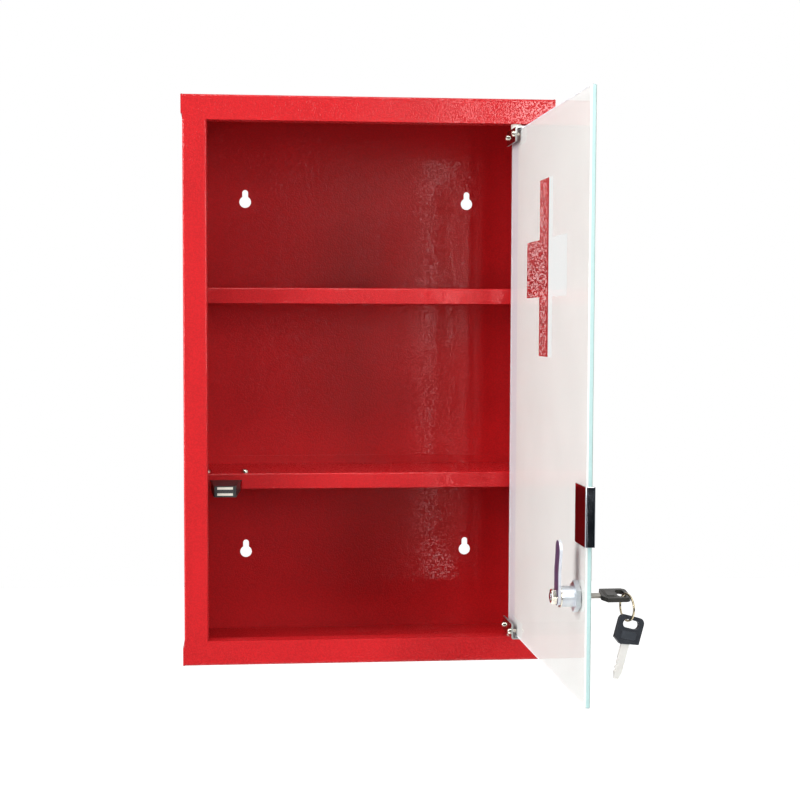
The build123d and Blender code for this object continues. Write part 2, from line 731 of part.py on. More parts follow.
placed_head = key_plane * head_shape.part
placed_blade = key_plane * blade_shape.part
with BuildPart() as key_head:
    add(placed_head)
key_head.part.label = "key_head"
export_step(key_head.part, "parts/key_head.step")

with BuildPart() as key_blade:
    add(placed_blade)
key_blade.part.label = "key_blade"
export_step(key_blade.part, "parts/key_blade.step")

# Ring: hangs from the head's near corner, half way between the eye's end and the rounded corner.
ring_yaw_angle = radians(ring_yaw)
ring_across = door_outward * cos(ring_yaw_angle) + door_along * sin(ring_yaw_angle)
ring_normal = ring_across.cross(up)
eye_end_point = Vector(key_eye_x, (key_eye_width - key_eye_length) / 2)
corner_point = Vector(key_head_length - key_head_corner, key_head_corner - key_head_width / 2)
corner_line = corner_point - eye_end_point
seat_reach = (key_eye_width / 2 + corner_line.length + key_head_corner) / 2
ring_seat = key_plane.from_local_coords(eye_end_point + corner_line.normalized() * seat_reach)
ring_rise = key_head_thickness / 2 / cos(turn) + ring_gap + ring_wire_diameter / 2
ring_centre = ring_seat + up * (ring_rise - ring_radius)
ring_plane = Plane(origin=ring_centre, x_dir=ring_across, z_dir=ring_normal)
ring_shape = ring_plane * Torus(ring_radius, ring_wire_diameter / 2)
with BuildPart() as key_ring:
    add(ring_shape)
key_ring.part.label = "key_ring"
export_step(key_ring.part, "parts/key_ring.step")

# Spare key: hangs square to the ring from its lowest point, leaning away from the door.
tilt = radians(spare_tilt)
spare_up = up * cos(tilt) - ring_normal * sin(tilt)
spare_side = ring_normal * -cos(tilt) - up * sin(tilt)
spare_seat = (key_eye_width - ring_wire_diameter) / 2 - spare_gap
spare_hang_point = ring_centre - up * ring_radius
spare_eye_point = spare_hang_point + spare_side * spare_side_shift - spare_up * spare_seat
spare_start = spare_eye_point - spare_up * key_eye_x
spare_plane = Plane(origin=spare_start, x_dir=spare_up, z_dir=ring_across * -1)
spare_head_shape = spare_plane * head_shape.part
spare_blade_shape = spare_plane * blade_shape.part
with BuildPart() as spare_key_head:
    add(spare_head_shape)
spare_key_head.part.label = "spare_key_head"
export_step(spare_key_head.part, "parts/spare_key_head.step")

with BuildPart() as spare_key_blade:
    add(spare_blade_shape)
spare_key_blade.part.label = "spare_key_blade"
export_step(spare_key_blade.part, "parts/spare_key_blade.step")
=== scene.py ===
"""Medicine cabinet with two shelves, its printed glass door open and a spare key hanging from the lock."""
import json
import logging
import math
from dataclasses import dataclass, field
from enum import Enum
from typing import Callable, Sequence

import bmesh
import bpy
from mathutils import Euler, Matrix, Vector


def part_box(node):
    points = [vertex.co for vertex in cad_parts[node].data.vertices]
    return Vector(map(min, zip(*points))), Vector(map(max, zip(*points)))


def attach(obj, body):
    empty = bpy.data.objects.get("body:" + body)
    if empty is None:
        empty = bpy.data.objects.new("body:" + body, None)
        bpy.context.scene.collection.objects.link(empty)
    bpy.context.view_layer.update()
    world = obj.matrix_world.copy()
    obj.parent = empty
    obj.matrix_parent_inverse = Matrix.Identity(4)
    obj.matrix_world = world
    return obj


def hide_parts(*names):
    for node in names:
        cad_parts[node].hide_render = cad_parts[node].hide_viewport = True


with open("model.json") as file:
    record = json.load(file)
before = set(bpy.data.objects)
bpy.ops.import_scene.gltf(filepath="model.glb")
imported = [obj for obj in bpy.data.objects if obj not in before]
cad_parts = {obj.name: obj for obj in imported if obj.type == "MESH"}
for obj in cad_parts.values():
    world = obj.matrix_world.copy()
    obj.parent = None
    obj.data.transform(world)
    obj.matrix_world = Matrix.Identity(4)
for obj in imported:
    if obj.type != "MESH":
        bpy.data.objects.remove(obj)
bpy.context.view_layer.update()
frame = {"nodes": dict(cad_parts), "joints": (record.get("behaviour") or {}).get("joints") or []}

logging.basicConfig(level=logging.INFO, format="%(message)s")
log = logging.getLogger("medicine_cabinet")

BMesh = bmesh.types.BMesh
Material = bpy.types.Material
Socket = bpy.types.NodeSocket
Colour = tuple[float, float, float]
Place = tuple[float, float, float]
Pair = tuple[float, float]

WHITE = (1.0, 1.0, 1.0, 1.0)
UP = Vector((0, 0, 1))
LOCK_FROM_HINGE = 0.2345        # along the door from its hinge edge, in metres
MOST_NOISE = (0.3, 0.7)         # between which most of a noise's values lie


class Body(Enum):
    """The rigid bodies that a piece can ride on."""

    CASE = "case"
    DOOR = "door"
    LOCK_CORE = "lock_core"
    KEY = "key"
    RING = "ring"
    SPARE_KEY = "spare_key"


class Slot(Enum):
    """The record's material slots that the new pieces take their finish from."""

    GLASS = "glass"
    CHROME = "chrome"
    ZINC = "zinc"
    PLASTIC = "black_plastic"


class Rounded(Enum):
    """What a bevel rounds."""

    EDGES = "EDGES"
    CORNERS = "VERTICES"


class Graph:
    """A shader node tree, with short calls for its nodes and links."""

    def __init__(self, tree: bpy.types.NodeTree, output: str) -> None:
        """Empties a tree and gives it its output node.

        Args:
            tree: The node tree of a material or a world.
            output: The output node's type.
        """
        tree.nodes.clear()
        self.tree = tree
        self.output = tree.nodes.new(output)

    def node(self, kind: str, settings: dict[str, object] | None = None, **inputs: object) -> bpy.types.Node:
        """Adds a node.

        Args:
            kind: The node type's name after "ShaderNode".
            settings: Properties of the node itself.
            inputs: Values or output sockets, by socket name with underscores for spaces, or i0, i1 by place.

        Returns:
            The new node.
        """
        made = self.tree.nodes.new("ShaderNode" + kind)
        for key, value in (settings or {}).items():
            setattr(made, key, value)
        for key, value in inputs.items():
            by_place = key[0] == "i" and key[1:].isdigit()
            socket = made.inputs[int(key[1:])] if by_place else made.inputs[key.replace("_", " ")]
            if isinstance(value, Socket):
                self.tree.links.new(value, socket)
            else:
                socket.default_value = value
        return made

    def math(self, operation: str, first: object, second: object = 0.0, third: object = 0.0) -> Socket:
        """Adds a Math node and returns its result."""
        return self.node("Math", {"operation": operation}, i0=first, i1=second, i2=third).outputs[0]

    def point(self) -> Socket:
        """Returns the object's own coordinates."""
        return self.node("TexCoord").outputs["Object"]

    def noise(self, scale: float, detail: float = 2.0, roughness: float = 0.5, vector: Socket | None = None) -> Socket:
        """Returns a noise value on the object's coordinates, scale in cycles per metre."""
        place = vector or self.point()
        return self.node("TexNoise", Vector=place, Scale=scale, Detail=detail, Roughness=roughness).outputs[0]

    def ramp(self, value: Socket, low: float, high: float, bottom: float = 0.0, top: float = 1.0) -> Socket:
        """Returns a value mapped and clamped from low..high to bottom..top."""
        return self.node("MapRange", Value=value, From_Min=low, From_Max=high, To_Min=bottom, To_Max=top).outputs[0]

    def blend(self, factor: Socket, first: Colour | Socket, second: Colour | Socket) -> Socket:
        """Returns a colour between two, by a factor."""
        ends = [end if isinstance(end, Socket) else (*end, 1.0) for end in (first, second)]
        return self.node("Mix", {"data_type": "RGBA"}, i0=factor, i6=ends[0], i7=ends[1]).outputs[2]

    def cover(self, factor: float | Socket, under: Socket, over: Socket) -> Socket:
        """Returns one shader laid over another, by a factor."""
        return self.node("MixShader", i0=factor, i1=under, i2=over).outputs[0]

    def bump(self, height: Socket, depth: float, strength: float = 1.0) -> Socket:
        """Returns a normal bumped by a height, depth in metres."""
        return self.node("Bump", Height=height, Distance=depth, Strength=strength).outputs[0]

    def surface(self, **inputs: object) -> Socket:
        """Adds a Principled surface and returns its shader."""
        return self.node("BsdfPrincipled", **inputs).outputs[0]

    def background_rays(self) -> Socket:
        """Returns 1 for the rays that show what lies behind the cabinet, and 0 for soft light.

        Returns:
            The larger of the camera's, the transmission's and the gloss's ray marks.
        """
        rays = self.node("LightPath").outputs
        shown = self.math("MAXIMUM", rays["Is Camera Ray"], rays["Is Transmission Ray"])
        return self.math("MAXIMUM", shown, rays["Is Glossy Ray"])

    def close(self, shader: Socket) -> None:
        """Links the shader to the output."""
        self.tree.links.new(shader, self.output.inputs["Surface"])


class MaterialGraph(Graph):
    """The node tree of a new material."""

    def __init__(self, name: str) -> None:
        """Starts an empty material.

        Args:
            name: The material's name.
        """
        self.material: Material = bpy.data.materials.new(name)
        self.material.use_nodes = True
        super().__init__(self.material.node_tree, "ShaderNodeOutputMaterial")

    def finish(self, shader: Socket) -> Material:
        """Closes the tree and returns the material."""
        self.close(shader)
        return self.material


@dataclass(frozen=True)
class HammerPaint:
    """Red powder coat: a clear coat lies on the pebbles of its fine grain and thins out in the wrinkles."""

    name: str = "red_hammer_paint"
    deep: Colour = (0.43, 0.003, 0.006)
    bright: Colour = (0.57, 0.005, 0.009)
    grain_per_metre: float = 540.0
    grain_depth: float = 0.000040
    warp_scale: float = 0.6
    warp_share: float = 0.0007
    wrinkle: Pair = (0.015, 0.11)
    clouds_per_metre: float = 16.0
    pebble_share: float = 0.6
    cloud_share: float = 0.7
    shaded: Pair = (0.3, 1.0)
    coated: Pair = (0.35, 0.9)
    sheen: float = 0.09
    wrinkle_sheen: float = 0.06
    roughness: float = 0.7
    specular: float = 0.28

    def material(self) -> Material:
        """Makes the paint's material.

        Returns:
            The material, its grain bent by a coarser noise.
        """
        g = MaterialGraph(self.name)
        warp = g.node("TexNoise", Vector=g.point(), Scale=self.grain_per_metre * self.warp_scale, Detail=1.0)
        bent = g.node("Mix", {"data_type": "VECTOR"}, i0=self.warp_share, i4=g.point(), i5=warp.outputs["Color"])
        grain = g.noise(self.grain_per_metre, detail=1.0, vector=bent.outputs[1])
        pebble = g.ramp(g.math("ABSOLUTE", g.math("SUBTRACT", grain, 0.5)), *self.wrinkle)
        cloud = g.math("MULTIPLY", g.noise(self.clouds_per_metre), self.cloud_share)
        shade = g.math("ADD", g.math("MULTIPLY", pebble, self.pebble_share), cloud)
        return g.finish(g.surface(
            Base_Color=g.blend(g.ramp(shade, *self.shaded), self.deep, self.bright),
            Roughness=self.roughness,
            Specular_IOR_Level=self.specular,
            Coat_Weight=g.ramp(pebble, *self.coated),
            Coat_Roughness=g.ramp(pebble, 0.0, 1.0, self.sheen + self.wrinkle_sheen, self.sheen),
            Normal=g.bump(pebble, self.grain_depth),
            Coat_Normal=g.bump(pebble, self.grain_depth),
        ))


@dataclass(frozen=True)
class ClearGlass:
    """Toughened glass: clear across its thickness, green-blue where its ground edge shows.

    The view bends in it, while shadows and soft light go straight through.
    """

    name: str = "toughened_glass"
    edge: Colour = (0.60, 0.88, 0.87)
    edge_pale: Colour = (0.95, 0.98, 0.97)
    edge_dark: Colour = (0.42, 0.56, 0.52)
    far_edge: Colour = (0.93, 0.93, 0.97)
    tint: Colour = (0.97, 0.985, 0.98)
    index: float = 1.5
    sheen: float = 0.38
    polish: float = 0.012
    band_blur: float = 0.08
    edge_until: float = 0.80
    dark_from: float = 0.90
    frost_per_metre: float = 900.0
    frost: Pair = (0.22, 0.34)
    edge_specular: float = 0.3
    edge_glow: float = 0.45

    def material(self, door: "DoorPlane", size: Vector, middle: float, arris: float, pale_depth: float) -> Material:
        """Makes the glass's material.

        Args:
            door: The door's own axes.
            size: Width, thickness and height of the glass in metres.
            middle: Height of its middle.
            arris: How far in from the outline the ground edge reaches.
            pale_depth: Thickness of the edge's whitest band, next to the inner face.

        Returns:
            The material.
        """
        g = MaterialGraph(self.name)
        s, depth, z = door.coordinates(g)
        width, thickness, height = size
        across = g.math("GREATER_THAN", g.math("ABSOLUTE", g.math("SUBTRACT", s, width / 2)), width / 2 - arris)
        along = g.math("GREATER_THAN", g.math("ABSOLUTE", g.math("SUBTRACT", z, middle)), height / 2 - arris)
        pane = self.pane(g)
        share = g.math("DIVIDE", depth, thickness)
        bands = self.edge_bands(g, share, pale_depth / thickness)
        tone = g.blend(g.math("GREATER_THAN", s, width - arris), self.far_edge, bands)
        roughness = g.ramp(g.noise(self.frost_per_metre), *MOST_NOISE, *self.frost)
        ground = g.surface(Base_Color=tone, Roughness=roughness, Specular_IOR_Level=self.edge_specular)
        through = g.node("BsdfTranslucent", Color=tone).outputs[0]
        rim = g.cover(self.edge_glow, ground, through)
        return g.finish(g.cover(g.math("MAXIMUM", across, along), pane, rim))

    def pane(self, g: Graph) -> Socket:
        """Adds the clear faces' shader.

        Args:
            g: The material's graph.

        Returns:
            Glass that reflects a little on the faces that a ray enters by.
        """
        clear = g.node("BsdfTransparent", Color=(*self.tint, 1.0)).outputs[0]
        bent = g.node("BsdfRefraction", Color=(*self.tint, 1.0), Roughness=0.0, IOR=self.index).outputs[0]
        rays = g.node("LightPath").outputs
        straight = g.math("MAXIMUM", rays["Is Shadow Ray"], rays["Is Diffuse Ray"])
        gloss = g.node("BsdfGlossy", Color=WHITE, Roughness=self.polish).outputs[0]
        front = g.math("SUBTRACT", 1.0, g.node("NewGeometry").outputs["Backfacing"])
        fresnel = g.node("Fresnel", IOR=self.index).outputs[0]
        mirror = g.math("MULTIPLY", g.math("MULTIPLY", fresnel, self.sheen), front)
        return g.cover(mirror, g.cover(straight, bent, clear), gloss)

    def edge_bands(self, g: Graph, share: Socket, pale_share: float) -> Socket:
        """Adds the ground edge's colours.

        Args:
            g: The material's graph.
            share: How far through the thickness a point lies, from 0 at the inner face to 1.
            pale_share: Where the palest band ends.

        Returns:
            The colour, from pale through green-blue to dark.
        """
        bands = g.node("ValToRGB", Fac=share)
        elements = bands.color_ramp.elements
        elements[0].position = pale_share - self.band_blur
        elements[0].color = (*self.edge_pale, 1.0)
        elements[1].position = pale_share + self.band_blur
        elements[1].color = (*self.edge, 1.0)
        for place, colour in ((self.edge_until, self.edge), (self.dark_from, self.edge_dark)):
            elements.new(place).color = (*colour, 1.0)
        return bands.outputs[0]


@dataclass(frozen=True)
class WhitePrint:
    """White print on the glass's outer face, which lets some light through, with painted reflection and shade in a
    lavender band along the hinge edge.
    """

    name: str = "white_print"
    # the print's whites, tinted pink partly by painted reflection of the red interior; the mottle varies them at
    # random
    colour: Colour = (0.86, 0.82, 0.81)
    mottle: Colour = (0.89, 0.85, 0.84)
    # painted reflection and shade: the print turns darker and lavender over this width from the hinge edge, with a
    # soft blur
    painted_hinge_reflection: Colour = (0.80, 0.75, 0.80)
    painted_hinge_reflection_width: float = 0.022
    painted_hinge_reflection_blur: float = 0.0015
    clouds_per_metre: float = 22.0
    mottled: Pair = (0.35, 0.65)
    grain_per_metre: float = 300.0
    roughness: Pair = (0.38, 0.46)
    specular: float = 0.2
    translucent: float = 0.18

    def material(self, door: "DoorPlane") -> Material:
        """Makes the print's material.

        Args:
            door: The door's own axes.

        Returns:
            The material.
        """
        g = MaterialGraph(self.name)
        cloud = g.ramp(g.noise(self.clouds_per_metre, detail=3.0), *self.mottled)
        # painted reflection and shade: lavender up to its width from the hinge edge, the print's white beyond
        past_painted_hinge_reflection = g.ramp(door.coordinates(g)[0], self.painted_hinge_reflection_width, self.painted_hinge_reflection_width + self.painted_hinge_reflection_blur)
        tone = g.blend(past_painted_hinge_reflection, self.painted_hinge_reflection, g.blend(cloud, self.colour, self.mottle))
        roughness = g.ramp(g.noise(self.grain_per_metre), *MOST_NOISE, *self.roughness)
        ink = g.surface(Base_Color=tone, Roughness=roughness, Specular_IOR_Level=self.specular)
        glow = g.node("BsdfTranslucent", Color=tone).outputs[0]
        return g.finish(g.cover(self.translucent, ink, glow))


@dataclass(frozen=True)
class Metal:
    """Bare or plated metal, with fine scratches and a slightly uneven polish."""

    name: str
    colour: Colour
    dull: Colour
    polish: float
    wear: float
    metallic: float = 1.0
    clouds_per_metre: float = 180.0
    dulled: Pair = (0.35, 0.7)
    scratches_per_metre: float = 5200.0
    scratch_stretch: Place = (1.0, 1.0, 0.06)
    ripple: float = 0.000004

    def material(self) -> Material:
        """Makes the metal's material.

        Returns:
            The material, its scratches drawn out along Z.
        """
        g = MaterialGraph(self.name)
        cloud = g.noise(self.clouds_per_metre, detail=3.0, roughness=0.6)
        stretched = g.node("Mapping", Vector=g.point(), Scale=self.scratch_stretch).outputs[0]
        scratch = g.noise(self.scratches_per_metre, vector=stretched)
        return g.finish(g.surface(
            Base_Color=g.blend(g.ramp(cloud, *self.dulled), self.colour, self.dull),
            Metallic=self.metallic,
            Roughness=g.ramp(cloud, *MOST_NOISE, self.polish, self.polish + self.wear),
            Normal=g.bump(scratch, self.ripple),
        ))


@dataclass(frozen=True)
class MouldedPlastic:
    """Moulded plastic with a fine spark-eroded grain."""

    name: str
    colour: Colour
    worn: Colour
    roughness: float = 0.38
    wear: float = 0.1
    specular: float = 0.5
    clouds_per_metre: float = 130.0
    rubbed: Pair = (0.35, 0.75)
    grain_per_metre: float = 3800.0
    grain_depth: float = 0.000035
    grain_strength: float = 0.6

    def material(self) -> Material:
        """Makes the plastic's material.

        Returns:
            The material.
        """
        g = MaterialGraph(self.name)
        cloud = g.noise(self.clouds_per_metre, detail=3.0)
        return g.finish(g.surface(
            Base_Color=g.blend(g.ramp(cloud, *self.rubbed), self.colour, self.worn),
            Roughness=g.ramp(cloud, *MOST_NOISE, self.roughness, self.roughness + self.wear),
            Specular_IOR_Level=self.specular,
            Normal=g.bump(g.noise(self.grain_per_metre), self.grain_depth, self.grain_strength),
        ))


@dataclass(frozen=True)
class Ferrite:
    """Grey-black sintered magnet with a speckled, matt surface."""

    name: str = "ferrite"
    colour: Colour = (0.018, 0.018, 0.019)
    fleck: Colour = (0.05, 0.05, 0.052)
    specks_per_metre: float = 2200.0
    speckled: Pair = (0.4, 0.65)
    roughness: float = 0.62
    pitting: float = 0.00004

    def material(self) -> Material:
        """Makes the magnet's material.

        Returns:
            The material.
        """
        g = MaterialGraph(self.name)
        speck = g.noise(self.specks_per_metre, detail=3.0)
        tone = g.blend(g.ramp(speck, *self.speckled), self.colour, self.fleck)
        return g.finish(g.surface(Base_Color=tone, Roughness=self.roughness, Normal=g.bump(speck, self.pitting)))


@dataclass(frozen=True)
class DoorPlane:
    """The door's own axes at rest: s from its hinge edge, depth outwards from its inner face, z up."""

    corner: Vector
    along: Vector
    outward: Vector

    @classmethod
    def from_joints(cls, lock_distance: float) -> "DoorPlane":
        """Finds the door's axes from the lock's joint.

        Args:
            lock_distance: Distance of the lock from the hinge edge, in metres.

        Returns:
            The door's axes.
        """
        joints = {joint["name"]: joint for joint in frame["joints"]}
        outward = Vector(joints["lock_turn"]["axis"]).normalized()
        along = outward.cross(UP)
        corner = Vector(joints["lock_turn"]["pos_m"]) - along * lock_distance
        corner.z = 0.0
        return cls(corner, along, outward)

    def matrix(self) -> Matrix:
        """Returns the matrix from (s, depth, z) to the frame."""
        columns = Matrix((self.along, self.outward, UP)).transposed().to_4x4()
        return Matrix.Translation(self.corner) @ columns

    def coordinates(self, g: Graph) -> tuple[Socket, Socket, Socket]:
        """Adds the nodes that turn the object's coordinates to the door's.

        Args:
            g: The graph that reads them.

        Returns:
            s, depth and z as node outputs.
        """
        turn = (0.0, 0.0, math.atan2(self.along.y, self.along.x))
        mapping = g.node("Mapping", {"vector_type": "TEXTURE"}, Vector=g.point(), Location=tuple(self.corner),
                         Rotation=turn)
        split = g.node("SeparateXYZ", Vector=mapping.outputs[0]).outputs
        return split[0], split[1], split[2]


def weighted_normals(data: bpy.types.Mesh, limit: float) -> list[Vector]:
    """Returns a normal for each face corner in which large faces weigh most, so that flat faces stay flat.

    Args:
        data: The mesh.
        limit: Faces that turn by more than this many radians don't blend.

    Returns:
        The normals, in the order of the mesh's loops.
    """
    around: list[list[bpy.types.MeshPolygon]] = [[] for _ in data.vertices]
    for face in data.polygons:
        for vertex in face.vertices:
            around[vertex].append(face)
    normals: list[Vector] = []
    for face in data.polygons:
        for vertex in face.vertices:
            near = [other for other in around[vertex] if other.normal.dot(face.normal) > math.cos(limit)]
            blended = sum((other.normal * other.area for other in near), Vector())
            normals.append(blended.normalized() if blended.length > 0 else face.normal.copy())
    return normals


def mesh_object(name: str, mesh: BMesh, materials: Sequence[Material]) -> bpy.types.Object:
    """Turns a bmesh into an object of the scene.

    Args:
        name: The object's name.
        mesh: The shape, in the frame's metres. It is freed.
        materials: The object's materials, in slot order.

    Returns:
        The new object, at the origin.
    """
    data = bpy.data.meshes.new(name)
    mesh.to_mesh(data)
    mesh.free()
    made = bpy.data.objects.new(name, data)
    bpy.context.scene.collection.objects.link(made)
    for material in materials:
        data.materials.append(material)
    return made


def make_piece(name: str, mesh: BMesh, materials: Sequence[Material], body: Body,
               stands_for: Sequence[str] = (), smooth_angle: float = 32.0) -> bpy.types.Object:
    """Turns a bmesh into a piece that rides on a body.

    Args:
        name: The piece's name.
        mesh: The shape, in the frame's metres. It is freed.
        materials: The piece's materials, in slot order.
        body: The body that it rides on.
        stands_for: CAD nodes that it replaces.
        smooth_angle: Edges under this angle, in degrees, look smooth.

    Returns:
        The new object.
    """
    piece = mesh_object(name, mesh, materials)
    data = piece.data
    data.shade_smooth()
    data.normals_split_custom_set(weighted_normals(data, math.radians(smooth_angle)))
    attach(piece, body.value)
    if stands_for:
        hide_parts(*stands_for)
    log.info("%s: %d faces on %s", name, len(data.polygons), body.value)
    return piece


def node_mesh(node: str, merge_within: float = 2e-6, flat_within: float = 0.6) -> BMesh:
    """Returns a merged copy of a CAD node's mesh with its flat faces joined.

    Args:
        node: The node's name.
        merge_within: Vertices this close, in metres, become one.
        flat_within: Faces that turn by less than this many degrees are joined.

    Returns:
        The copy, as a bmesh.
    """
    mesh = bmesh.new()
    mesh.from_mesh(frame["nodes"][node].data)
    bmesh.ops.remove_doubles(mesh, verts=mesh.verts, dist=merge_within)
    bmesh.ops.dissolve_limit(mesh, angle_limit=math.radians(flat_within), verts=mesh.verts, edges=mesh.edges)
    return mesh


def node_middle(node: str) -> Vector:
    """Returns the middle of a CAD node's box."""
    low, high = (Vector(corner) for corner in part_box(node))
    return (low + high) / 2


def rectangle(width: float, height: float) -> BMesh:
    """Returns a flat rectangle about the origin, square to Z.

    Args:
        width: Its size along X, in metres.
        height: Its size along Y, in metres.

    Returns:
        The rectangle, as a bmesh of one face.
    """
    mesh = bmesh.new()
    bmesh.ops.create_grid(mesh, x_segments=1, y_segments=1, size=0.5)
    bmesh.ops.scale(mesh, vec=(width, height, 1.0), verts=mesh.verts)
    return mesh


def stand_up(mesh: BMesh, axis: str = "X") -> None:
    """Turns a mesh by a quarter about an axis."""
    bmesh.ops.rotate(mesh, matrix=Matrix.Rotation(math.pi / 2, 3, axis), verts=mesh.verts)


def round_off(mesh: BMesh, parts: Sequence[object], radius: float, segments: int, rounded: Rounded = Rounded.EDGES,
              clamp: bool = False) -> None:
    """Rounds edges of a mesh, or corners of a flat one.

    Args:
        mesh: The mesh.
        parts: Its edges or vertices that are rounded.
        radius: Radius of the rounding, in metres.
        segments: Faces across each rounding.
        rounded: Whether edges or corners are rounded.
        clamp: Whether a rounding stops where it would meet the next one.
    """
    bmesh.ops.bevel(mesh, geom=parts, offset=radius, offset_type="OFFSET", affect=rounded.value, segments=segments,
                    profile=0.5, material=-1, clamp_overlap=clamp)


def rounded_piece(name: str, node: str, radius: float, materials: Sequence[Material], body: Body,
                  segments: int = 2, sheet_normal: Vector | None = None, sharper_than: float = 40.0) -> None:
    """Replaces a CAD node by a copy whose sharp edges are rounded.

    Args:
        name: The piece's name.
        node: The node that it replaces.
        radius: Radius of the rounding, in metres.
        materials: The piece's materials, in slot order.
        body: The body that it rides on.
        segments: Faces across each rounding.
        sheet_normal: For sheet metal, the sheet's normal, so that its cut edges take the second material.
        sharper_than: Only edges that turn by more than this many degrees are rounded.
    """
    mesh = node_mesh(node)
    limit = math.radians(sharper_than)
    edges = [edge for edge in mesh.edges if len(edge.link_faces) == 2 and edge.calc_face_angle(0.0) > limit]
    round_off(mesh, edges, radius, segments, clamp=True)
    if sheet_normal is not None:
        mark_edges(mesh, sheet_normal)
    make_piece(name, mesh, materials, body, (node,))


def mark_edges(mesh: BMesh, normal: Vector, cosine: float = 0.6) -> None:
    """Gives a sheet's cut edges the second material.

    Args:
        mesh: The sheet's mesh.
        normal: The sheet's normal.
        cosine: Faces whose normals agree less than this with the sheet's are edges.
    """
    for face in mesh.faces:
        face.material_index = int(abs(face.normal.dot(normal)) < cosine)


def dress(node: str, material: Material) -> None:
    """Gives a CAD node its material.

    Args:
        node: The node's name.
        material: Its material.
    """
    data = frame["nodes"][node].data
    data.materials.clear()
    data.materials.append(material)
    log.info("%s: dressed with %s", node, material.name)


def made(finish: HammerPaint | Metal | MouldedPlastic | Ferrite) -> Material:
    """Returns a dataclass field that makes the finish's material."""
    return field(default_factory=finish.material)


@dataclass
class Finishes:
    """Every finish on the cabinet but the door's glass and print, made once."""

    paint: Material = made(HammerPaint())
    chrome: Material = made(Metal("chrome", (0.50, 0.52, 0.57), (0.42, 0.44, 0.49), polish=0.05, wear=0.08))
    bright: Material = made(Metal("bright_chrome", (0.46, 0.48, 0.46), (0.38, 0.41, 0.39), polish=0.10, wear=0.10))
    satin: Material = made(
        Metal("satin_chrome", (0.70, 0.73, 0.76), (0.58, 0.61, 0.65), polish=0.32, wear=0.12, metallic=0.75))
    nickel: Material = made(Metal("bright_nickel", (0.78, 0.74, 0.64), (0.58, 0.54, 0.46), polish=0.14, wear=0.14))
    # the cam's zinc, darkened and tinted violet on its flat faces as painted reflection
    cam_zinc_and_reflection: Material = made(
        Metal("cam_zinc_painted_reflection", (0.13, 0.09, 0.20), (0.09, 0.06, 0.14), polish=0.30, wear=0.12, metallic=0.55))
    # the same zinc on the cam's cut edges, made pale as a painted highlight
    cam_edge_highlight: Material = made(
        Metal("cam_edge_painted_highlight", (0.72, 0.74, 0.79), (0.62, 0.64, 0.70), polish=0.36, wear=0.12, metallic=0.60))
    clip_edge: Material = made(Metal("clip_edge", (0.60, 0.62, 0.60), (0.50, 0.52, 0.50), polish=0.40, wear=0.12))
    # the spare key's plated blade, near-white and mostly matt: partly its plating, partly painted reflection of the
    # bright surroundings
    blade: Material = made(
        Metal("plated_blade_and_reflection", (0.95, 0.94, 0.90), (0.88, 0.86, 0.81), polish=0.40, wear=0.14, metallic=0.20))
    # the blade of the key in the lock: its steel darkened as painted shade
    shaded_key_blade: Material = made(Metal("shaded_key_blade", (0.36, 0.34, 0.30), (0.26, 0.24, 0.21), polish=0.24, wear=0.16))
    brass: Material = made(Metal("pale_brass", (0.62, 0.55, 0.40), (0.50, 0.41, 0.24), polish=0.16, wear=0.14))
    steel: Material = made(
        Metal("ground_steel", (0.88, 0.84, 0.74), (0.74, 0.70, 0.62), polish=0.34, wear=0.16, metallic=0.45))
    black: Material = made(MouldedPlastic("black_plastic", (0.012, 0.014, 0.015), (0.030, 0.034, 0.036)))
    key_black: Material = made(MouldedPlastic("key_plastic", (0.016, 0.015, 0.012), (0.026, 0.024, 0.019)))
    spare_black: Material = made(MouldedPlastic("spare_key_plastic", (0.016, 0.019, 0.026), (0.030, 0.035, 0.044)))
    panel: Material = made(
        MouldedPlastic("panel_plastic", (0.040, 0.046, 0.056), (0.062, 0.070, 0.082), roughness=0.30))
    nylon: Material = made(MouldedPlastic("nylon", (0.72, 0.70, 0.64), (0.62, 0.60, 0.54), roughness=0.5))
    ferrite: Material = made(Ferrite())


@dataclass
class Case:
    """Painted case with its two shelves, and the nylon bushes that the door's pins turn in."""

    painted: tuple[str, ...] = ("case_wrap", "top_cap", "bottom_cap", "upper_shelf", "lower_shelf")

    def build(self, finishes: Finishes) -> None:
        """Dresses the sheet-metal nodes and the bushes.

        Args:
            finishes: The cabinet's finishes.
        """
        for node in self.painted:
            dress(node, finishes.paint)
        dress("pivot_bushes", finishes.nylon)


